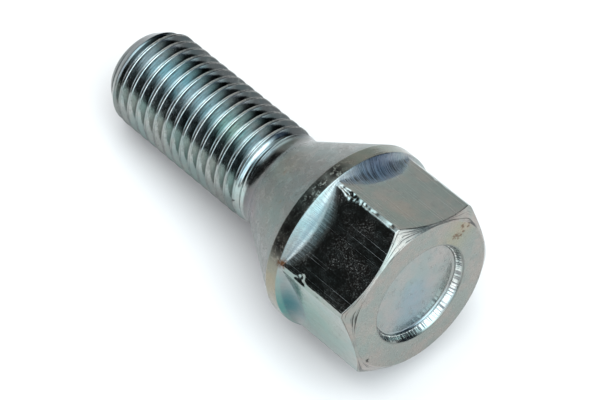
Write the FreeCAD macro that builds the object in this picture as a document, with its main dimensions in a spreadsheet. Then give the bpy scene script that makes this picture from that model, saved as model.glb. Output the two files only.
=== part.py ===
import FreeCAD, Part
import os
import Sketcher
from FreeCAD import Vector

# Wheel bolt with a hexagon head, a round collar and a cone seat, lying on its side as it comes to rest.
# Along its own axis (X) it is measured from the tip to the end face of the head.

doc = FreeCAD.newDocument("wheel_bolt")
sizes = doc.addObject("Spreadsheet::Sheet", "sizes")

# Sizes in mm and degrees
SIZES = [
    ("bolt_length", "46.6"),
    ("thread_diameter", "11.9"),
    ("thread_fade", "0.4"),
    ("tip_diameter", "9.0"),
    ("tip_chamfer", "2.3"),
    ("tip_round", "0.8"),
    ("neck_diameter", "11.5"),
    ("neck_run", "0.45"),
    ("neck_fillet", "2.5"),
    ("seat_angle", "60"),
    ("collar_diameter", "22.1"),
    ("collar_height", "1.6"),
    ("collar_round", "0.35"),
    ("head_height", "10.7"),
    ("across_flats", "18.9"),
    ("across_corners", "21.5"),
    ("flat_count", "6"),
    ("shoulder_angle", "31"),
    ("shoulder_overlap", "0.6"),
    ("face_diameter", "18.4"),
    ("face_angle", "35"),
    ("recess_diameter", "12.4"),
    ("recess_draft", "25"),
    ("recess_depth", "1.1"),
    ("recess_fillet", "0.3"),
    ("rest_roll", "95.9"),
    ("cut_margin", "2"),
]

# Places along the axis, radii and the rest pose that follow from the sizes
DERIVED = [
    ("thread_radius", "=thread_diameter / 2"),
    ("tip_radius", "=tip_diameter / 2"),
    ("neck_radius", "=neck_diameter / 2"),
    ("collar_radius", "=collar_diameter / 2"),
    ("corner_radius", "=across_corners / 2"),
    ("flat_radius", "=across_flats / 2"),
    ("face_radius", "=face_diameter / 2"),
    ("recess_radius", "=recess_diameter / 2"),
    ("floor_radius", "=recess_radius - recess_depth * tan(recess_draft)"),
    ("collar_top", "=bolt_length - head_height"),
    ("collar_base", "=collar_top - collar_height"),
    ("seat_end", "=collar_base - (collar_radius - neck_radius) / tan(seat_angle / 2)"),
    ("neck_start", "=seat_end - neck_fillet * tan(seat_angle / 4) - neck_run"),
    ("thread_end", "=neck_start - thread_fade"),
    ("corner_end", "=bolt_length - (corner_radius - face_radius) * tan(face_angle)"),
    ("floor_place", "=bolt_length - recess_depth"),
    ("shoulder_radius", "=flat_radius - shoulder_overlap"),
    ("shoulder_place", "=collar_top + (collar_radius - shoulder_radius) * tan(shoulder_angle)"),
    ("past_face", "=bolt_length + cut_margin"),
    ("past_collar", "=collar_radius + cut_margin"),
    ("round_place", "=collar_base + collar_round * tan(seat_angle / 4)"),
    ("rest_run", "=round_place - tip_chamfer"),
    ("rest_drop", "=collar_radius - collar_round - thread_radius"),
    ("rest_tilt", "=atan(rest_drop / rest_run) + asin(collar_round / sqrt(rest_run ^ 2 + rest_drop ^ 2))"),
    ("rest_height", "=thread_radius * cos(rest_tilt) - tip_chamfer * sin(rest_tilt)"),
    ("rest_shift", "=(bolt_length * cos(rest_tilt) + (face_radius - tip_radius) * sin(rest_tilt)) / 2"),
]

for row, (alias, text) in enumerate(SIZES + DERIVED, start=1):
    sizes.set(f"A{row}", alias)
    sizes.set(f"B{row}", text)
    sizes.setAlias(f"B{row}", alias)
doc.recompute()

bolt = doc.addObject("PartDesign::Body", "wheel_bolt")
bolt.Label = "wheel_bolt"


def value(alias):
    """Number in a named cell. No name stands for zero."""
    if alias is None:
        return 0.0
    cell = sizes.get(alias)
    return float(getattr(cell, "Value", cell))


def origin_feature(role):
    """Plane or axis of the body's own origin."""
    return [item for item in bolt.Origin.OriginFeatures if item.Role == role][0]


def section_sketch(name):
    """Empty sketch in the plane that holds the bolt's axis, X along the axis and Y outwards."""
    sketch = bolt.newObject("Sketcher::SketchObject", name)
    sketch.AttachmentSupport = [(origin_feature("XZ_Plane"), "")]
    sketch.MapMode = "FlatFace"
    return sketch


def constrain(sketch, alias, *terms):
    """Dimension that takes its value from a cell."""
    index = sketch.addConstraint(Sketcher.Constraint(*terms, value(alias)))
    sketch.setExpression(f"Constraints[{index}]", f"sizes.{alias}")


def fix_point(sketch, geometry, end, along, outwards):
    """Place a point by its two cells. A point with no cell lies on that axis of the sketch."""
    for kind, alias, zero_line in (("DistanceX", along, -2), ("DistanceY", outwards, -1)):
        if alias is None:
            sketch.addConstraint(Sketcher.Constraint("PointOnObject", geometry, end, zero_line))
        else:
            constrain(sketch, alias, kind, -1, 1, geometry, end)


def closed_outline(sketch, corners):
    """Closed outline. Each corner is (place along, place outwards), named by their cells."""
    points = [Vector(value(along), value(outwards), 0) for along, outwards in corners]
    for number, point in enumerate(points):
        sketch.addGeometry(Part.LineSegment(points[number - 1], point), False)
    for number, (along, outwards) in enumerate(corners):
        following = (number + 1) % len(corners)
        sketch.addConstraint(Sketcher.Constraint("Coincident", number, 2, following, 1))
        fix_point(sketch, number, 2, along, outwards)


def ring_edges(feature, rings):
    """Names of the round edges that lie at the given places along the axis and radii."""
    names = []
    for along, outwards in rings:
        for number, edge in enumerate(feature.Shape.Edges, start=1):
            curve = edge.Curve
            if not isinstance(curve, Part.Circle):
                continue
            place_error = abs(curve.Center.x - value(along))
            radius_error = abs(curve.Radius - value(outwards))
            if place_error < 1e-4 and radius_error < 1e-4 and abs(curve.Center.y) < 1e-4:
                names.append(f"Edge{number}")
    return names


def round_rings(name, base, radius, rings):
    """Fillet on round edges of the turned form."""
    fillet = bolt.newObject("PartDesign::Fillet", name)
    fillet.Base = (base, ring_edges(base, rings))
    fillet.setExpression("Radius", f"sizes.{radius}")
    doc.recompute()
    return fillet


# Turned form: tip, thread's outside, neck, cone seat, collar, round blank of the head, recess
turned_sketch = section_sketch("turned_sketch")
closed_outline(turned_sketch, [
    (None, None),
    (None, "tip_radius"),
    ("tip_chamfer", "thread_radius"),
    ("thread_end", "thread_radius"),
    ("neck_start", "neck_radius"),
    ("seat_end", "neck_radius"),
    ("collar_base", "collar_radius"),
    ("collar_top", "collar_radius"),
    ("collar_top", "corner_radius"),
    ("corner_end", "corner_radius"),
    ("bolt_length", "face_radius"),
    ("bolt_length", "recess_radius"),
    ("floor_place", "floor_radius"),
    ("floor_place", None),
])
turned = bolt.newObject("PartDesign::Revolution", "turned")
turned.Profile = turned_sketch
turned.ReferenceAxis = (turned_sketch, ["H_Axis"])
turned.Angle = 360
doc.recompute()

# Rounds and fillets of the turned form
tip_edge = round_rings("tip_edge", turned, "tip_round", [(None, "tip_radius")])
neck = round_rings("neck", tip_edge, "neck_fillet", [("seat_end", "neck_radius")])
collar_edge = round_rings("collar_edge", neck, "collar_round", [("collar_base", "collar_radius")])
recess_edge = round_rings("recess_edge", collar_edge, "recess_fillet", [("floor_place", "floor_radius")])

# One flat of the hexagon
flat_sketch = section_sketch("flat_sketch")
closed_outline(flat_sketch, [
    ("collar_top", "flat_radius"),
    ("past_face", "flat_radius"),
    ("past_face", "past_collar"),
    ("collar_top", "past_collar"),
])
flat = bolt.newObject("PartDesign::Pocket", "flat")
flat.Profile = flat_sketch
flat.SideType = "Symmetric"
flat.Type = "ThroughAll"
doc.recompute()

# The flats round the head
flats = bolt.newObject("PartDesign::PolarPattern", "flats")
flats.Originals = [flat]
flats.Axis = (turned_sketch, ["H_Axis"])
flats.Angle = 360
flats.setExpression("Occurrences", "sizes.flat_count")
bolt.Tip = flats
doc.recompute()

# Sloping top of the collar, on which the flats run out
shoulder_sketch = section_sketch("shoulder_sketch")
closed_outline(shoulder_sketch, [
    ("collar_top", "shoulder_radius"),
    ("collar_top", "collar_radius"),
    ("shoulder_place", "shoulder_radius"),
])
shoulder = bolt.newObject("PartDesign::Revolution", "shoulder")
shoulder.Profile = shoulder_sketch
shoulder.ReferenceAxis = (shoulder_sketch, ["H_Axis"])
shoulder.Angle = 360
bolt.Tip = shoulder
doc.recompute()

# Rest pose: the thread's first crest and the collar's lower edge touch the ground
bolt.setExpression(
    "Placement",
    "placement(vector(-sizes.rest_shift; 0; sizes.rest_height);"
    " rotationy(-sizes.rest_tilt) * rotationx(sizes.rest_roll))")
doc.recompute()

# Checks before writing
for item in doc.Objects:
    if "Invalid" in item.State or "Error" in item.State:
        raise RuntimeError(f"{item.Name} did not build: {item.State}")
for feature in (turned, recess_edge, flat, flats, shoulder, bolt):
    if feature.Shape.isNull() or not feature.Shape.isValid():
        raise RuntimeError(f"{feature.Name} has no valid shape")
if not recess_edge.Shape.Volume > flat.Shape.Volume > flats.Shape.Volume:
    raise RuntimeError("a flat has cut nothing")
if not shoulder.Shape.Volume > flats.Shape.Volume:
    raise RuntimeError("the shoulder has added nothing")
if len(bolt.Shape.Solids) != 1:
    raise RuntimeError("the bolt is not one solid")

os.makedirs("parts", exist_ok=True)
bolt.Shape.exportStep("parts/wheel_bolt.step")
box = bolt.Shape.optimalBoundingBox(False)
print(f"wheel_bolt {box.XLength:.3f} x {box.YLength:.3f} x {box.ZLength:.3f} mm, low {box.ZMin:.4f},"
      f" middle {box.Center.x:.4f} {box.Center.y:.4f}, volume {bolt.Shape.Volume:.1f} mm3,"
      f" tilt {value('rest_tilt'):.3f}, height {value('rest_height'):.4f}, shift {value('rest_shift'):.4f}")
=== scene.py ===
import math

import bpy
import numpy as np
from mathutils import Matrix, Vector


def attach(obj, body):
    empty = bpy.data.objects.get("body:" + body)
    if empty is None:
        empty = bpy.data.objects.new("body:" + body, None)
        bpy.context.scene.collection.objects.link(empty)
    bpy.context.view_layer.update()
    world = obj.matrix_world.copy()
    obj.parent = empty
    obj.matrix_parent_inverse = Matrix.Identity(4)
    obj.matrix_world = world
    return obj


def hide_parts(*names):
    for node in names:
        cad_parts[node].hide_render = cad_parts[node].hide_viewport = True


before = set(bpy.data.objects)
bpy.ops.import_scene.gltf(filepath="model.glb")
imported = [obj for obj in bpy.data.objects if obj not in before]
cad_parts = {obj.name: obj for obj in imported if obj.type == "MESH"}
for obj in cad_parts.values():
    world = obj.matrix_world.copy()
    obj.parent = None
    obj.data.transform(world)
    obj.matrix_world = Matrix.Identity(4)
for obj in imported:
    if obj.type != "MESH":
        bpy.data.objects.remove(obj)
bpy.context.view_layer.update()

# Sizes of the bolt in mm, measured along its axis from the tip
MM = 0.001
LENGTH = 46.6
PITCH = 1.5
THREAD_R = 5.95
ROOT_R = 5.02
THREAD_FADE = 0.4
TIP_R = 4.5
TIP_CHAMFER = 2.3
TIP_ROUND = 0.8
NECK_R = 5.75
NECK_FILLET = 2.5
NECK_RUN = 0.45
SEAT_HALF = math.radians(30)
COLLAR_R = 11.05
COLLAR_H = 1.6
COLLAR_ROUND = 0.35
SHOULDER_ANGLE = math.radians(31)
HEAD_H = 10.7
SIDES = 6
FLAT_R = 9.45
CORNER_R = 10.75
CORNER_TURN = math.radians(5.9)
FACE_R = 9.2
FACE_SLOPE = math.tan(math.radians(35))
RECESS_R = 6.2
RECESS_DRAFT = math.radians(25)
RECESS_DEPTH = 1.1
RECESS_FILLET = 0.3

# Soft edges in mm: the collar's rim, the crease at the foot of the sides, the mouth of the recess
RIM_SOFT = 0.08
SHOULDER_BLEND = 1.1
SIDE_BLEND = 1.25
MOUTH_ROUND = 0.12

# Places along the axis and a radius that follow from the sizes
COLLAR_TOP = LENGTH - HEAD_H
COLLAR_BASE = COLLAR_TOP - COLLAR_H
SEAT_END = COLLAR_BASE - (COLLAR_R - NECK_R) / math.tan(SEAT_HALF)
NECK_END = SEAT_END - NECK_FILLET * math.tan(SEAT_HALF / 2)
NECK_START = NECK_END - NECK_RUN
THREAD_END = NECK_START - THREAD_FADE
FLOOR_PLACE = LENGTH - RECESS_DEPTH
FLOOR_R = RECESS_R - RECESS_DEPTH * math.tan(RECESS_DRAFT)

# Rest pose, from the thread's first crest and the collar's lower edge
rest_run = COLLAR_BASE + COLLAR_ROUND * math.tan(SEAT_HALF / 2) - TIP_CHAMFER
rest_drop = COLLAR_R - COLLAR_ROUND - THREAD_R
TILT = math.atan(rest_drop / rest_run) + math.asin(COLLAR_ROUND / math.hypot(rest_run, rest_drop))
HEIGHT = THREAD_R * math.cos(TILT) - TIP_CHAMFER * math.sin(TILT)
SHIFT = (LENGTH * math.cos(TILT) + (FACE_R - TIP_R) * math.sin(TILT)) / 2

# Columns round the axis in degrees from the upper corner, close together at the six corners
SECTOR = 360 / SIDES
HALF_SECTOR = [0, 0.5, 1, 1.5, 2, 2.6, 3.3, 4.2, 5.4, 7, 8.8, 10.8, 13, 15.2, 17.5, 20, 22.5, 25, 27.5]
sector = sorted(set(HALF_SECTOR + [SECTOR / 2] + [SECTOR - a for a in HALF_SECTOR[1:]]))
degrees = np.concatenate([np.array(sector) + SECTOR * number for number in range(SIDES)])
offsets = np.radians(degrees)
angles = offsets + CORNER_TURN
COLUMNS = len(offsets)
from_normal = np.abs((offsets % math.radians(SECTOR)) - math.radians(SECTOR / 2))
side_r = np.minimum(FLAT_R / np.cos(from_normal), CORNER_R)


def place(along, radius, angle):
    """Points in the row frame, in metres."""
    across = -radius * np.sin(angle)
    upward = radius * np.cos(angle)
    return np.stack([along * math.cos(TILT) - upward * math.sin(TILT) - SHIFT, across,
                     along * math.sin(TILT) + upward * math.cos(TILT) + HEIGHT], axis=-1) * MM


def turn_from(offset):
    """Angle of each column from an offset, in degrees from -180 to 180."""
    return (degrees - offset + 180) % 360 - 180


def smooth_step(low, high, value):
    """Soft rise from 0 at low to 1 at high."""
    t = np.clip((value - low) / (high - low), 0, 1)
    return t * t * (3 - 2 * t)


def ring(x, r):
    """One row of points: place along the axis and radius for each column."""
    return np.stack([np.broadcast_to(x, COLUMNS), np.broadcast_to(r, COLUMNS)], axis=1).astype(float)


def arc_rows(centre_x, centre_r, radius, first, last, steps):
    """Rows on an arc of the section, angles from the axis direction."""
    turns = np.linspace(first, last, steps)
    return [ring(centre_x + radius * math.cos(a), centre_r + radius * math.sin(a)) for a in turns]


def between(start, end, shares):
    """Rows on a straight line between two rows."""
    return [start * (1 - share) + end * share for share in shares]


def bend(start, corner, end, steps):
    """Rows on a soft bend that starts and ends in line with the corner."""
    shares = np.linspace(0, 1, steps)
    return [start * (1 - s) ** 2 + corner * 2 * s * (1 - s) + end * s ** 2 for s in shares]


rows, zones = [], []


def add_rows(zone, new_rows):
    """Rows of the surface in order from the tip to the recess, each with its zone."""
    rows.extend(new_rows)
    zones.extend([zone] * len(new_rows))


# Tip: flat end, round and the start of the chamfer
TIP_RINGS = (0, 1.5, 3)
TIP_STEPS = 7
chamfer_angle = math.atan2(THREAD_R - TIP_R, TIP_CHAMFER)
tip_turn = math.pi / 2 - chamfer_angle
tip_flat = TIP_R - TIP_ROUND * math.tan(tip_turn / 2)
add_rows("tip", [ring(0, r) for r in (*TIP_RINGS, tip_flat)])
add_rows("tip", arc_rows(TIP_ROUND, tip_flat, TIP_ROUND, math.pi, math.pi - tip_turn, TIP_STEPS)[1:])


def chamfer_r(x):
    """Radius of the tip's chamfer at a place along the axis."""
    return TIP_R + x * math.tan(chamfer_angle)


# Section of the thread over one pitch, as places along from the middle of its folded crest and radii
FOLD_R = 5.86
HALF_CREST = [(0.115, THREAD_R), (0.15, 5.93), (0.18, 5.85)]
FLANK = [(0.31, 5.62), (0.45, 5.365), (0.585, 5.11), (0.65, 5.045)]
CREST = [(-run, r) for run, r in reversed(HALF_CREST)] + [(0.0, FOLD_R)] + HALF_CREST
SECTION = CREST + FLANK + [(PITCH / 2, ROOT_R)] + [(PITCH - run, r) for run, r in reversed(FLANK)]
FOLD_ROW = len(HALF_CREST)
ROWS_A_TURN = len(SECTION)

# Thread: its rows follow the helix from the chamfer to the neck, where it runs out
THREAD_FROM = 0.76
THREAD_TO = NECK_START + 0.2
RUN_OUT = (THREAD_END - 1.3, NECK_START + 0.1)
thread_first = len(rows)
for turn in range(-2, int(THREAD_TO / PITCH) + 2):
    for run, section_r in SECTION:
        x = np.clip((turn + degrees / 360) * PITCH + run, THREAD_FROM, THREAD_TO)
        fade = smooth_step(*RUN_OUT, x)
        r = np.minimum(section_r * (1 - fade) + NECK_R * fade, chamfer_r(x))
        add_rows("thread", [ring(x, np.where(x <= THREAD_FROM, chamfer_r(THREAD_FROM), r))])
thread_last = len(rows) - 1

# Neck, cone seat and collar
NECK_STEPS = 8
SEAT_STEPS = 16
COLLAR_STEPS = 5
COLLAR_SHARES = (0.25, 0.5, 0.75, 1.0)
neck_turn = -math.pi / 2 + SEAT_HALF
edge_reach = COLLAR_ROUND * math.tan(SEAT_HALF / 2)
seat_high = ring(COLLAR_BASE - edge_reach * math.cos(SEAT_HALF), COLLAR_R - edge_reach * math.sin(SEAT_HALF))
rim_low = ring(COLLAR_TOP - RIM_SOFT, COLLAR_R)
add_rows("neck", [ring(THREAD_TO, NECK_R), ring(NECK_END, NECK_R)])
add_rows("neck", arc_rows(NECK_END, NECK_R + NECK_FILLET, NECK_FILLET,
                          -math.pi / 2, neck_turn, NECK_STEPS)[1:])
add_rows("seat", between(rows[-1], seat_high, np.linspace(0, 1, SEAT_STEPS)[1:]))
add_rows("collar", arc_rows(COLLAR_BASE + edge_reach, COLLAR_R - COLLAR_ROUND, COLLAR_ROUND,
                            math.pi / 2 + SEAT_HALF, math.pi / 2, COLLAR_STEPS)[1:])
add_rows("collar", between(rows[-1], rim_low, COLLAR_SHARES))

# Sloping top of the collar, and the six sides that run out on it
RIM_STEPS = 4
SHOULDER_SHARES = (0.33, 0.67)
CREASE_STEPS = 12
SIDE_STEPS = 62
SIDE_TOP_SHARES = (0.994, 1.0)
SHOULDER_BLEND_SHARE = 0.6
SIDE_BLEND_SHARE = 0.8
rim = ring(COLLAR_TOP, COLLAR_R)
root = ring(COLLAR_TOP + (COLLAR_R - side_r) * math.tan(SHOULDER_ANGLE), side_r)
slope_run = np.linalg.norm(root - rim, axis=1)[:, None]
slope = (root - rim) / slope_run
crease_low = root - np.minimum(SHOULDER_BLEND, SHOULDER_BLEND_SHARE * slope_run) * slope
side_low = root + np.minimum(SIDE_BLEND, SIDE_BLEND_SHARE * slope_run) * [1, 0]
side_high = ring(LENGTH - (side_r - FACE_R) * FACE_SLOPE, side_r)
side_shares = np.append(np.linspace(0, 1, SIDE_STEPS)[1:-1], SIDE_TOP_SHARES)
add_rows("shoulder", bend(rim_low, rim, rim + RIM_SOFT * slope, RIM_STEPS)[1:])
add_rows("shoulder", between(rows[-1], crease_low, SHOULDER_SHARES))
add_rows("crease", bend(crease_low, root, side_low, CREASE_STEPS))
side_first = len(rows)
add_rows("side", between(side_low, side_high, side_shares))
side_last = len(rows)

# Nicks on the corners: corner, place along, length along, middle and reach round in degrees, depth
dice = np.random.default_rng(11)
nicks = [
    (1, 38.9, 0.40, -2.2, 2.2, 0.28),
    (1, 38.3, 0.22, -0.8, 1.4, 0.12),
    (1, 39.5, 0.25, -0.6, 1.2, 0.10),
]

# A row of chips along the upper corner, deepest at one place
CHIPS_FROM = 36.75
CHIPS_TO = 42.2
CHIPS_DEEPEST = 38.9
CHIPS_SPREAD = 1.1
CHIP_LEAST = 0.3
CHIP_MORE = 0.9
CHIP_LENGTH = (0.10, 0.26)
CHIP_MIDDLE = (0.3, 1.6)
CHIP_REACH = (1.1, 2.6)
CHIP_DEPTH = (0.08, 0.22)
CHIP_STEP = (0.16, 0.42)
chip_along = CHIPS_FROM
while chip_along < CHIPS_TO:
    strength = CHIP_LEAST + CHIP_MORE * math.exp(-((chip_along - CHIPS_DEEPEST) / CHIPS_SPREAD) ** 2)
    nicks.append((0, chip_along, dice.uniform(*CHIP_LENGTH), dice.uniform(*CHIP_MIDDLE) * strength,
                  dice.uniform(*CHIP_REACH) * strength, dice.uniform(*CHIP_DEPTH) * strength))
    chip_along += dice.uniform(*CHIP_STEP)

# Shallow dents on every corner
DENTS_A_CORNER = 9
DENT_ALONG = (36.6, 45.2)
DENT_LENGTH = (0.12, 0.6)
DENT_MIDDLE = (-0.6, 0.6)
DENT_REACH = (0.8, 1.8)
DENT_DEPTH = (0.01, 0.06)
for corner in range(SIDES):
    for dent in range(DENTS_A_CORNER):
        nicks.append((corner, dice.uniform(*DENT_ALONG), dice.uniform(*DENT_LENGTH),
                      dice.uniform(*DENT_MIDDLE), dice.uniform(*DENT_REACH), dice.uniform(*DENT_DEPTH)))
for row in rows[side_first:side_last]:
    for corner, nick_along, length, middle, reach, depth in nicks:
        away = turn_from(SECTOR * corner + middle)
        row[:, 1] -= depth * np.exp(-((row[:, 0] - nick_along) / length) ** 2 - (away / reach) ** 2)

# End chamfer, end face and recess
BEVEL_SHARES = (0.04, 0.25, 0.5, 0.75, 0.95, 1.0)
FACE_RINGS = (8.6, 8.0, 7.4, 6.8)
FACE_EDGE = 0.08
MOUTH_EDGE = 0.1
MOUTH_STEPS = 5
WALL_SHARES = (0.33, 0.67, 1.0)
PAN_STEPS = 6
PAN_RINGS = (4.9, 4.2, 3.2, 2.0, 1.0, 0.0)
wall_turn = math.pi / 2 - RECESS_DRAFT
mouth_r = RECESS_R + MOUTH_ROUND * math.tan(wall_turn / 2)
fillet_reach = RECESS_FILLET * math.tan(wall_turn / 2)
wall_low = ring(FLOOR_PLACE + fillet_reach * math.cos(RECESS_DRAFT),
                FLOOR_R + fillet_reach * math.sin(RECESS_DRAFT))
add_rows("bevel", between(rows[-1], ring(LENGTH, FACE_R), BEVEL_SHARES))
add_rows("face", [ring(LENGTH, r) for r in (FACE_R - FACE_EDGE, *FACE_RINGS, mouth_r + MOUTH_EDGE)])
add_rows("rim", arc_rows(LENGTH - MOUTH_ROUND, mouth_r, MOUTH_ROUND, 0, -wall_turn, MOUTH_STEPS))
add_rows("wall", between(rows[-1], wall_low, WALL_SHARES))
add_rows("pan", arc_rows(FLOOR_PLACE + RECESS_FILLET, FLOOR_R - fillet_reach, RECESS_FILLET,
                         wall_turn, math.pi, PAN_STEPS)[1:])
add_rows("pan", [ring(FLOOR_PLACE, r) for r in PAN_RINGS])

# Points of the surface, and the run of its section for the surface map
UV_ALONG = 0.02
UV_AROUND = 1 / (2 * math.pi)
SAME_POINT = 1e-8
grid = np.array(rows)
along, radius = grid[..., 0], grid[..., 1]
points = place(along, radius, angles).reshape(-1, 3)
steps_along = np.linalg.norm(np.diff(grid.mean(axis=1), axis=0), axis=1)
path = np.concatenate([[0], np.cumsum(steps_along)])

# Quads: closed rings for the tip and the body, a helical strip for the thread
quads, quad_uv = [], []
for i in range(len(rows) - 1):
    in_thread = thread_first <= i < thread_last
    for j in range(COLUMNS):
        k = (j + 1) % COLUMNS
        low, high = i, i + 1
        if in_thread and k == 0:
            low = min(low + ROWS_A_TURN, thread_last)
            high = min(high + ROWS_A_TURN, thread_last)
        left = offsets[j]
        right = offsets[k] if k else 2 * math.pi
        quads.append((i * COLUMNS + j, low * COLUMNS + k, high * COLUMNS + k, (i + 1) * COLUMNS + j))
        quad_uv.append(((path[i], left), (path[i], right), (path[i + 1], right), (path[i + 1], left)))

# Points that coincide are joined, and faces that lose their area are left out
_, first_of, same = np.unique(np.round(points / SAME_POINT).astype(np.int64), axis=0, return_index=True,
                              return_inverse=True)
faces, face_uv = [], []
for quad, corners in zip(same.reshape(-1)[np.array(quads)], quad_uv):
    kept = {}
    for vertex, corner in zip(quad, corners):
        kept.setdefault(int(vertex), corner)
    if len(kept) >= 3:
        faces.append(list(kept))
        face_uv.extend(kept.values())

mesh = bpy.data.meshes.new("wheel_bolt_visual")
mesh.from_pydata(points[first_of].tolist(), [], faces)
uv_layer = mesh.uv_layers.new(name="surface")
uv_layer.data.foreach_set("uv", (np.array(face_uv) * [UV_ALONG, UV_AROUND]).ravel())
mesh.polygons.foreach_set("use_smooth", [True] * len(mesh.polygons))
mesh.update()
bolt = bpy.data.objects.new("wheel_bolt_visual", mesh)
bpy.context.scene.collection.objects.link(bolt)

# Finish of each zone: roughness, fine grain, marks along the axis, marks round it, dust
FINISH_NAMES = ("rough", "grain", "axial", "around", "dust")
FINISH = {
    "tip": (0.24, 0.6, 0.0, 0.3, 0.3),
    "thread": (0.12, 0.5, 0.0, 0.1, 0.4),
    "neck": (0.18, 0.5, 0.0, 0.3, 0.3),
    "seat": (0.27, 0.8, 0.1, 0.25, 1.0),
    "collar": (0.17, 1.4, 0.0, 0.3, 0.5),
    "shoulder": (0.15, 1.2, 0.2, 0.0, 0.2),
    "crease": (0.14, 0.8, 0.2, 0.0, 0.2),
    "side": (0.11, 0.4, 0.35, 0.0, 0.4),
    "bevel": (0.14, 0.6, 0.1, 1.0, 0.3),
    "face": (0.24, 0.6, 0.0, 0.15, 0.35),
    "rim": (0.16, 0.5, 0.2, 0.0, 0.3),
    "wall": (0.11, 0.4, 3.4, 0.0, 0.3),
    "pan": (0.19, 0.7, 0.0, 0.0, 0.3),
}
zone_of = np.repeat(np.array(zones)[:, None], COLUMNS, axis=1)
on_thread = zone_of == "thread"


def near(zone_names, spot_along, spot_offset, reach):
    """Soft round patch on the named zones, centred at a place along the axis and an offset in degrees."""
    gap = np.hypot(along - spot_along, radius * np.radians(turn_from(spot_offset)))
    return np.exp(-(gap / reach) ** 2) * np.isin(zone_of, zone_names)


# Colour of the passivated zinc film, as a factor on the metal's colour. The factors also paint light and
# shade zone by zone: the one plate is darker on the tip, neck, seat and rim and brighter on the thread and
# the recess wall
PLAIN_FILM = (1.0, 1.0, 1.0)
ZONE_TINT_AND_PAINTED_LIGHT = {
    "tip": (0.40, 0.40, 0.39),
    "thread": (1.27, 1.38, 1.49),
    "neck": (0.42, 0.42, 0.42),
    "seat": (0.50, 0.505, 0.495),
    "collar": (0.72, 0.69, 0.63),
    "bevel": (0.98, 0.88, 0.84),
    "face": (0.84, 0.79, 0.76),
    "rim": (0.6, 0.58, 0.56),
    "wall": (2.1, 2.05, 2.05),
    "pan": (0.92, 0.89, 0.89),
}
row_tint_and_painted_light = np.array([ZONE_TINT_AND_PAINTED_LIGHT.get(zone, PLAIN_FILM) for zone in zones])
film_and_painted_light = np.repeat(row_tint_and_painted_light[:, None, :], COLUMNS, axis=1)

# Painted shade on the thread: its colour is made darker in the groove, on the far side, away from the middle
# and toward the tip
THREAD_MIDDLE = 14
GROOVE_EDGES = (5.5, 5.05)
GROOVE_SHADE = 0.5
FAR_SIDE_START = (-30, -54)
FAR_SIDE_END = (-150, -110)
FAR_SIDE_SHADE = 0.84
BOTH_SIDES_START = (42, 72)
BOTH_SIDES_SHADE = 0.35
TIP_END = (4.0, 1.5)
TIP_END_SHADE = 0.6
from_middle = turn_from(THREAD_MIDDLE)
groove = on_thread * smooth_step(*GROOVE_EDGES, radius)
far_side = FAR_SIDE_SHADE * smooth_step(*FAR_SIDE_START, from_middle)
far_side *= smooth_step(*FAR_SIDE_END, from_middle)
both_sides = BOTH_SIDES_SHADE * smooth_step(*BOTH_SIDES_START, np.abs(from_middle))
tip_end = TIP_END_SHADE * smooth_step(*TIP_END, along)
painted_thread_shade = np.maximum(np.maximum(far_side, both_sides), tip_end)
film_and_painted_light *= ((1 - GROOVE_SHADE * groove) * (1 - painted_thread_shade * on_thread))[..., None]

# Painted shade on the lower side of the thread: the crests are darkened to the flanks' level, and the colour
# takes a warm tint
LOW_SIDE_START = (20, 42)
LOW_SIDE_SHADE_TINT = (1.04, 1.02, 0.95)
CREST_EDGES = (THREAD_R - 0.12, THREAD_R - 0.02)
CREST_SHADE = 0.5
low_side = smooth_step(*LOW_SIDE_START, from_middle)
crest = on_thread * smooth_step(*CREST_EDGES, radius)
film_and_painted_light *= (1 - CREST_SHADE * crest * low_side)[..., None]
film_and_painted_light *= 1 + (on_thread * low_side)[..., None] * (np.array(LOW_SIDE_SHADE_TINT) - 1)

# Tinted patches: tints of the film, and painted reflections and painted shade on the collar's top, a lower
# side and the recess floor: zones, place along, offset in degrees, reach, tint
TINTS_AND_PAINTED_REFLECTIONS = [
    (("thread",), 18.3, 9.7, 2.0, (1.02, 1.06, 0.94)),
    (("thread",), 9.0, 350, 3.0, (0.90, 1.02, 1.04)),
    (("thread",), 14.0, 130, 3.0, (0.92, 1.05, 0.98)),
    (("thread",), 16.0, 250, 3.0, (1.05, 0.98, 0.98)),
    (("neck", "seat"), 26.0, 61, 1.7, (1.12, 0.92, 1.04)),
    (("seat",), 27.7, 7, 2.2, (1.08, 1.00, 0.88)),
    (("seat",), 31.0, 40, 2.6, (0.93, 1.03, 0.99)),
    (("seat",), 30.5, 75, 2.4, (0.96, 1.02, 1.05)),
    (("seat",), 29.0, 180, 3.0, (1.07, 0.96, 1.00)),
    (("seat",), 30.0, 280, 3.0, (0.94, 1.04, 0.98)),
    (("collar",), 34.6, 75, 3.0, (1.08, 1.02, 0.86)),
    # Painted reflections on the collar's top: a dimmed bluish lens by one upper side and a navy lens by the
    # other
    (("shoulder", "crease"), 36.4, 32, 4.6, (0.72, 0.85, 0.89)),
    (("shoulder", "crease"), 36.4, 330, 3.6, (0.42, 0.50, 0.70)),
    # Painted reflection: a teal lens where a lower side runs out, with painted shade along its crease and
    # teal running onto the side
    (("shoulder", "side"), 36.8, 92, 4.2, (0.28, 0.68, 0.66)),
    (("crease",), 36.8, 92, 3.6, (0.14, 0.40, 0.46)),
    (("side",), 41.0, 88, 5.0, (0.68, 0.93, 0.82)),
    (("side",), 43.0, 345, 2.4, (1.04, 1.00, 0.95)),
    (("side",), 40.0, 200, 3.0, (0.90, 1.03, 1.00)),
    (("face",), LENGTH, 304, 2.0, (1.10, 1.01, 0.84)),
    (("face",), LENGTH, 90, 2.4, (0.98, 1.03, 1.02)),
    # Painted reflection: blue on the recess floor near the wall
    (("pan",), FLOOR_PLACE, 165, 3.0, (0.84, 0.98, 1.12)),
    (("pan",), FLOOR_PLACE, 20, 2.5, (0.96, 1.02, 1.03)),
]
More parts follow.
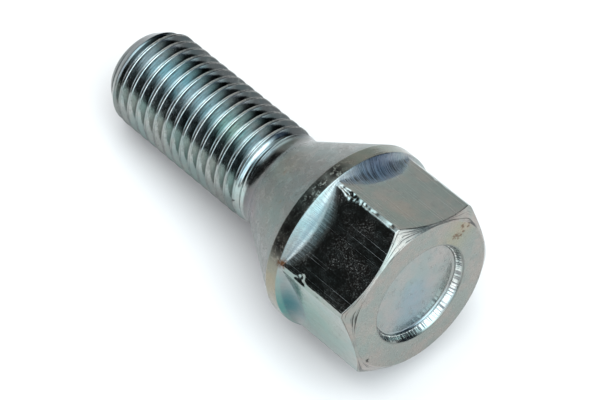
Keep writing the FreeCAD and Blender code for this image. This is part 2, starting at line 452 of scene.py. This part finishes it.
for zone_names, spot_along, spot_offset, reach, tint in TINTS_AND_PAINTED_REFLECTIONS:
    film_and_painted_light *= 1 + near(zone_names, spot_along, spot_offset, reach)[..., None] * (np.array(tint) - 1)

# Painted shade: dark spots on the collar under the upper sides, and a dark line in the fold of the crests
SHADE_ALONG = 35.1
SHADE_OFFSETS = (-4, 8, 18, 28, 38, 48)
SHADE_REACH = 2.0
FOLD_SHADE = 0.9
shade_spots = [near(("collar",), SHADE_ALONG, spot_offset, SHADE_REACH) for spot_offset in SHADE_OFFSETS]
painted_shade = np.max(shade_spots, axis=0)
painted_shade[thread_first + FOLD_ROW:thread_last + 1:ROWS_A_TURN] = FOLD_SHADE * (1 - low_side)

# Bare lips of the crests with a painted highlight on them, fainter where the thread has painted shade and
# left off on its lower side
LIP_EDGES = (THREAD_R - 0.05, THREAD_R - 0.01)
LIP_SHADED = 0.6
lip = smooth_step(*LIP_EDGES, radius)
bare_lip_and_highlight = crest * lip * (1 - LIP_SHADED * painted_thread_shade) * (1 - low_side)

# Hatching where the sides run out on the collar's top, with a share for each side
SIDE_HATCH = (0.38, 0.10, 0.5, 0.4, 0.6, 1.0)
SHOULDER_HATCH = 0.5
HATCH_END = (0.7, -0.4)
hatch = np.isin(zone_of, ("crease", "side")) * smooth_step(*HATCH_END, along - side_low[:, 0])
hatch = np.maximum(hatch, SHOULDER_HATCH * (zone_of == "shoulder")) * np.repeat(SIDE_HATCH, len(sector))

# The fields that the material reads
fields = {"painted_shade": painted_shade, "crest": bare_lip_and_highlight, "hatch": hatch}
for number, name in enumerate(FINISH_NAMES):
    row_values = np.array([FINISH[zone][number] for zone in zones])
    fields[name] = np.repeat(row_values[:, None], COLUMNS, axis=1)
for name, values in fields.items():
    layer = mesh.attributes.new(name, "FLOAT", "POINT")
    layer.data.foreach_set("value", values.reshape(-1)[first_of].astype(np.float32))
film_layer = mesh.attributes.new("film_and_painted_light", "FLOAT_COLOR", "POINT")
film_rgba = np.concatenate([film_and_painted_light.reshape(-1, 3)[first_of], np.ones((len(first_of), 1))], axis=1)
film_layer.data.foreach_set("color", film_rgba.astype(np.float32).ravel())


class Nodes:
    """Short calls that add nodes to one tree. An input is a value or another node's output."""

    def __init__(self, tree):
        self.tree = tree

    def fill(self, socket, value):
        """Set a socket's value, or link it."""
        if isinstance(value, bpy.types.NodeSocket):
            self.tree.links.new(value, socket)
        else:
            socket.default_value = value

    def add(self, kind, inputs=None, **settings):
        """Add a node, set its properties, then fill its inputs."""
        made = self.tree.nodes.new(kind)
        for name, value in settings.items():
            setattr(made, name, value)
        for key, value in (inputs or {}).items():
            self.fill(made.inputs[key], value)
        return made

    def calc(self, operation, first, second):
        return self.add("ShaderNodeMath", {0: first, 1: second}, operation=operation).outputs[0]

    def plus(self, first, second):
        return self.calc("ADD", first, second)

    def times(self, first, second):
        return self.calc("MULTIPLY", first, second)

    def vector(self, operation, inputs, output="Vector"):
        return self.add("ShaderNodeVectorMath", inputs, operation=operation).outputs[output]

    def span(self, value, edges, results=(0.0, 1.0)):
        """Smooth step from the first result to the second, between two edges."""
        inputs = {"Value": value, "From Min": edges[0], "From Max": edges[1],
                  "To Min": results[0], "To Max": results[1]}
        return self.add("ShaderNodeMapRange", inputs, interpolation_type="SMOOTHSTEP").outputs["Result"]

    def noise(self, vector, scale, detail, rough):
        inputs = {"Vector": vector, "Scale": scale, "Detail": detail, "Roughness": rough}
        return self.add("ShaderNodeTexNoise", inputs).outputs["Fac"]

    def mix(self, share, first, second, blend="MIX"):
        """Mix of two colours."""
        inputs = {0: share, 6: first, 7: second}
        return self.add("ShaderNodeMix", inputs, data_type="RGBA", blend_type=blend).outputs[2]

    def field(self, name, output="Fac"):
        """Values that the mesh holds at its points."""
        return self.add("ShaderNodeAttribute", attribute_name=name).outputs[output]


# Colours of the zinc plate, of what lies on it, of painted shade and of painted highlights
METAL_COOL = (0.295, 0.345, 0.330, 1)
METAL_WARM = (0.360, 0.355, 0.335, 1)
WORN_METAL = (0.22, 0.23, 0.22, 1)
PIT_COLOUR = (0.09, 0.085, 0.075, 1)
GAP_COLOUR = (0.17, 0.175, 0.18, 1)
SHADE_COLOUR = (0.014, 0.012, 0.011, 1)
STREAK_COLOUR = (0.06, 0.058, 0.055, 1)
LIP_HIGHLIGHT_COLOUR = (0.72, 0.70, 0.66, 1)
SCRATCH_COLOUR = (0.42, 0.42, 0.41, 1)
HATCH_COLOUR = (0.050, 0.075, 0.112, 1)
DUST_COLOUR = (0.070, 0.042, 0.024, 1)
STAIN_COLOUR = (0.15, 0.10, 0.065, 1)

# Even noise: cells in a metre, detail, roughness
NOISES = {
    "mottle": (330.0, 6.0, 0.65),
    "blotch": (900.0, 5.0, 0.70),
    "grit": (2300.0, 5.0, 0.75),
    "grain": (4200.0, 4.0, 0.65),
    "dust": (6500.0, 2.0, 0.60),
}

# Noise drawn out along the axis or round it: cells in the surface map, detail, roughness
DRAWN_NOISES = {
    "axial": ((6.0, 170.0, 1.0), 3.0, 0.60),
    "around": ((450.0, 14.0, 1.0), 3.0, 0.60),
    "lines": ((1.6, 520.0, 1.0), 0.0, 0.55),
    "strokes": ((20.0, 800.0, 1.0), 1.0, 0.55),
}

zinc = bpy.data.materials.new("zinc_plate")
zinc.use_nodes = True
plate = Nodes(zinc.node_tree)
shader = zinc.node_tree.nodes["Principled BSDF"]
spot = plate.add("ShaderNodeTexCoord").outputs["Object"]
surface = plate.add("ShaderNodeUVMap", uv_map="surface").outputs["UV"]
noises = {name: plate.noise(spot, *values) for name, values in NOISES.items()}
for name, (cells, detail, rough) in DRAWN_NOISES.items():
    drawn_out = plate.vector("MULTIPLY", {0: surface, 1: cells})
    noises[name] = plate.noise(drawn_out, 1.0, detail, rough)

# Values of a noise between which each mark, or change of the metal, fades in
SCRATCH_FADE = (0.71, 0.77)
DUST_FADE = (0.52, 0.78)
DUST_PATCH_FADE = (0.40, 0.66)
PIT_FADE = (0.58, 0.70)
STROKE_FADE = (0.40, 0.66)
GAP_FADE = (0.52, 0.42)
SHADE_FADE = (0.64, 0.52)
STREAK_FADE = (0.52, 0.62)
LIP_FADE = (0.60, 0.42)
HUE_FADE = (0.38, 0.62)
WEAR_FADE = (0.50, 0.75)
UNEVEN_FADE = (0.30, 0.70)

# Results at the two ends of a fade that doesn't go from 0 to 1
STROKE_SHARES = (0.10, 0.85)
LIP_SHARES = (0.15, 0.85)
WEAR_SHARES = (0.0, 0.6)
UNEVEN_ROUGH = (-0.05, 0.10)

# Values of a zone's finish between which the zone takes a mark
SCRATCH_ZONES = (0.2, 0.35)
GAP_ZONES = (1.0, 2.0)
STREAK_ZONES = (0.5, 0.9)

# Shares of the marks, of the painted shade and of the painted highlights on the lips
scratches = plate.times(plate.span(noises["lines"], SCRATCH_FADE),
                        plate.span(plate.field("axial"), SCRATCH_ZONES))
dust = plate.times(plate.span(noises["dust"], DUST_FADE), plate.field("dust"))
dust = plate.times(dust, plate.span(noises["mottle"], DUST_PATCH_FADE))
pits = plate.times(plate.span(noises["grit"], PIT_FADE), plate.field("dust"))
hatching = plate.times(plate.span(noises["strokes"], STROKE_FADE, STROKE_SHARES), plate.field("hatch"))
wall_gaps = plate.times(plate.span(noises["axial"], GAP_FADE),
                        plate.span(plate.field("axial"), GAP_ZONES))
shaded = plate.times(plate.field("painted_shade"), plate.span(noises["grit"], SHADE_FADE))
streaks = plate.times(plate.span(noises["around"], STREAK_FADE),
                      plate.span(plate.field("around"), STREAK_ZONES))
lip_highlights = plate.times(plate.field("crest"), plate.span(noises["grit"], LIP_FADE, LIP_SHARES))
wear = plate.span(noises["blotch"], WEAR_FADE, WEAR_SHARES)

# Metal colour with the film's tints and the painted light and shade that come with them, then the marks,
# painted shade and painted highlights in the order in which they lie on it
colour = plate.mix(plate.span(noises["mottle"], HUE_FADE), METAL_COOL, METAL_WARM)
colour = plate.mix(1.0, colour, plate.field("film_and_painted_light", "Color"), "MULTIPLY")
for share, mark_colour in ((wear, WORN_METAL), (pits, PIT_COLOUR), (wall_gaps, GAP_COLOUR),
                           (shaded, SHADE_COLOUR), (streaks, STREAK_COLOUR), (lip_highlights, LIP_HIGHLIGHT_COLOUR),
                           (scratches, SCRATCH_COLOUR), (hatching, HATCH_COLOUR)):
    colour = plate.mix(share, colour, mark_colour)

# Small marks: place along, radius, offset in degrees, size, colour
MARKS = [
    (36.1, 10.85, 57.5, 0.66, (0.10, 0.045, 0.02, 1)),
    (LENGTH, 9.0, 110, 0.30, (0.03, 0.028, 0.025, 1)),
    (22.8, 5.9, 77.4, 0.16, (0.015, 0.015, 0.015, 1)),
    (28.6, 7.75, 12, 0.45, (0.16, 0.13, 0.10, 1)),
    (31.5, 9.4, 30, 0.30, (0.17, 0.15, 0.12, 1)),
    (33.0, 10.3, 95, 0.40, (0.16, 0.13, 0.10, 1)),
    (34.8, COLLAR_R, 210, 0.50, (0.12, 0.06, 0.03, 1)),
]

# A spray of brown stains on the end face
STAINS = 10
STAIN_RADIUS = (7.0, 9.0)
STAIN_OFFSET = (296, 308)
STAIN_SIZE = (0.12, 0.36)
for stain in range(STAINS):
    MARKS.append((LENGTH, dice.uniform(*STAIN_RADIUS), dice.uniform(*STAIN_OFFSET),
                  dice.uniform(*STAIN_SIZE), STAIN_COLOUR))

# The marks have soft, ragged edges, and dust lies over all
MARK_EDGES = (1.2, 0.2)
MARK_RAGGED = 1.6
ragged = plate.times(plate.calc("SUBTRACT", noises["grain"], 0.5), MARK_RAGGED * MM)
for mark_along, mark_radius, mark_offset, size, mark_colour in MARKS:
    centre = place(mark_along, mark_radius, math.radians(mark_offset) + CORNER_TURN)
    gap = plate.vector("DISTANCE", {0: spot, 1: tuple(centre)}, "Value")
    share = plate.span(plate.plus(gap, ragged), [edge * size * MM for edge in MARK_EDGES])
    colour = plate.mix(share, colour, mark_colour)
colour = plate.mix(dust, colour, DUST_COLOUR)
plate.fill(shader.inputs["Base Color"], colour)
covered = plate.calc("MAXIMUM", dust, hatching)
plate.fill(shader.inputs["Metallic"], plate.calc("SUBTRACT", 1.0, covered))

# Roughness by zone, uneven from handling, and more where the metal is marked or painted with shade
SCRATCH_ROUGH = 0.30
SHADE_ROUGH = 0.25
COVER_ROUGH = 0.40
roughness = plate.plus(plate.field("rough"), plate.span(noises["blotch"], UNEVEN_FADE, UNEVEN_ROUGH))
for share, more in ((scratches, SCRATCH_ROUGH), (shaded, SHADE_ROUGH), (covered, COVER_ROUGH)):
    roughness = plate.plus(roughness, plate.times(share, more))
plate.fill(shader.inputs["Roughness"], roughness)

# Fine relief
AXIAL_RELIEF = 1.2
AROUND_RELIEF = 1.6
BLOTCH_RELIEF = 0.8
RELIEF_DEPTH = 0.012
relief = plate.times(noises["grain"], plate.field("grain"))
for name, strength in (("axial", AXIAL_RELIEF), ("around", AROUND_RELIEF)):
    relief = plate.plus(relief, plate.times(noises[name], plate.times(plate.field(name), strength)))
relief = plate.plus(relief, plate.times(noises["blotch"], BLOTCH_RELIEF))
bump = plate.add("ShaderNodeBump", {"Height": relief, "Strength": 1.0, "Distance": RELIEF_DEPTH * MM})
plate.fill(shader.inputs["Normal"], bump.outputs["Normal"])
mesh.materials.append(zinc)

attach(bolt, "root")
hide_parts("wheel_bolt")

# Floor of pale paper, in metres
FLOOR_SIZE = 4.0
PAPER_COLOUR = (0.70, 0.645, 0.63, 1)
PAPER_ROUGH = 0.9
bpy.ops.mesh.primitive_plane_add(size=FLOOR_SIZE, location=(0, 0, 0))
floor = bpy.context.object
floor.name = "floor"
paper = bpy.data.materials.new("paper")
paper.use_nodes = True
paper_shader = paper.node_tree.nodes["Principled BSDF"]
paper_shader.inputs["Base Color"].default_value = PAPER_COLOUR
paper_shader.inputs["Roughness"].default_value = PAPER_ROUGH
paper_shader.inputs["Specular IOR Level"].default_value = 0.0
floor.data.materials.append(paper)

# Room: pale at the horizon and dark above it
HORIZON_COLOUR = (0.30, 0.31, 0.33)
HORIZON_EDGES = (0.10, 0.0)
ROOM_COLOUR = (0.020, 0.019, 0.019)
BEHIND = 50
world = bpy.data.worlds.new("studio")
bpy.context.scene.world = world
world.use_nodes = True
sky = Nodes(world.node_tree)
direction = sky.add("ShaderNodeTexCoord").outputs["Generated"]
height = sky.add("ShaderNodeSeparateXYZ", {0: direction}).outputs["Z"]
glow = sky.vector("SCALE", {0: HORIZON_COLOUR, 3: sky.span(height, HORIZON_EDGES)})
glow = sky.vector("ADD", {0: glow, 1: ROOM_COLOUR})


def facing(vector):
    """How far the direction of a ray points along a vector."""
    return sky.vector("DOT_PRODUCT", {0: direction, 1: vector}, "Value")


def panel(azimuth, elevation, half_wide, half_high, soft, colour):
    """Soft panel of light: azimuth from +Y toward +X, angles in degrees."""
    az, el = math.radians(azimuth), math.radians(elevation)
    middle = Vector((math.sin(az) * math.cos(el), math.cos(az) * math.cos(el), math.sin(el)))
    sideways = Vector((math.cos(az), -math.sin(az), 0)) / math.sin(math.radians(half_wide))
    rising = Vector((-math.sin(az) * math.sin(el), -math.cos(az) * math.sin(el), math.cos(el)))
    rising /= math.sin(math.radians(half_high))
    behind = sky.calc("MINIMUM", facing(middle * BEHIND), 0.0)
    reach = sky.add("ShaderNodeCombineXYZ", {0: facing(sideways), 1: facing(rising), 2: behind}).outputs[0]
    share = sky.span(sky.vector("LENGTH", {0: reach}, "Value"), (1 + soft, 1 - soft))
    return sky.vector("SCALE", {0: colour, 3: share})


# Panels of light round the bolt: azimuth, elevation, half width, half height, softness, colour
PANELS = [
    (82, 50, 21, 37, 0.7, (3.2, 3.85, 4.1)),
    (104, 6, 24, 16, 0.5, (1.5, 1.75, 1.85)),
    (0, 90, 30, 30, 0.6, (0.62, 0.90, 1.0)),
    (166, 32, 13, 32, 0.5, (1.5, 1.55, 1.6)),
    (134, 32, 28, 20, 0.6, (1.4, 1.65, 1.85)),
    (-47, 20, 20, 32, 0.35, (0.72, 0.74, 0.72)),
    (-95, 63, 27, 13, 0.6, (2.2, 2.65, 2.85)),
    (45, 16, 26, 20, 0.6, (0.03, 0.06, 0.11)),
]
for panel_values in PANELS:
    glow = sky.vector("ADD", {0: glow, 1: panel(*panel_values)})
sky.fill(world.node_tree.nodes["Background"].inputs["Color"], glow)

# Lamp over the floor, in metres and watts
LAMP_SIZE = 1.6
LAMP_HEIGHT = 1.4
LAMP_POWER = 12.5
LAMP_COLOUR = (1.0, 0.95, 0.92)
lamp_data = bpy.data.lights.new("ceiling", "AREA")
lamp_data.shape = "SQUARE"
lamp_data.size = LAMP_SIZE
lamp_data.energy = LAMP_POWER
lamp_data.color = LAMP_COLOUR
lamp = bpy.data.objects.new("ceiling", lamp_data)
lamp.location = (0, 0, LAMP_HEIGHT)
lamp.visible_glossy = False
bpy.context.scene.collection.objects.link(lamp)

# Camera at the photo's angle: place in metres, direction in degrees, focal length in pixels of the image
CAMERA_PLACE = (0.170546, -0.148255, 0.354019)
CAMERA_AZIMUTH = math.radians(48.424)
CAMERA_ELEVATION = math.radians(57.075)
FOCAL_PIXELS = 3781.9
IMAGE_WIDTH = 600
SENSOR_WIDTH = 36
camera_data = bpy.data.cameras.new("camera")
camera_data.sensor_width = SENSOR_WIDTH
camera_data.lens = SENSOR_WIDTH * FOCAL_PIXELS / IMAGE_WIDTH
camera_data.clip_start = 0.01
camera_data.clip_end = 20
camera = bpy.data.objects.new("camera", camera_data)
bpy.context.scene.collection.objects.link(camera)
camera.location = CAMERA_PLACE
look = Vector((-math.sin(CAMERA_AZIMUTH) * math.cos(CAMERA_ELEVATION),
               math.cos(CAMERA_AZIMUTH) * math.cos(CAMERA_ELEVATION), -math.sin(CAMERA_ELEVATION)))
camera.rotation_euler = look.to_track_quat("-Z", "Y").to_euler()
bpy.context.scene.camera = camera
bpy.context.scene.view_settings.view_transform = "Standard"
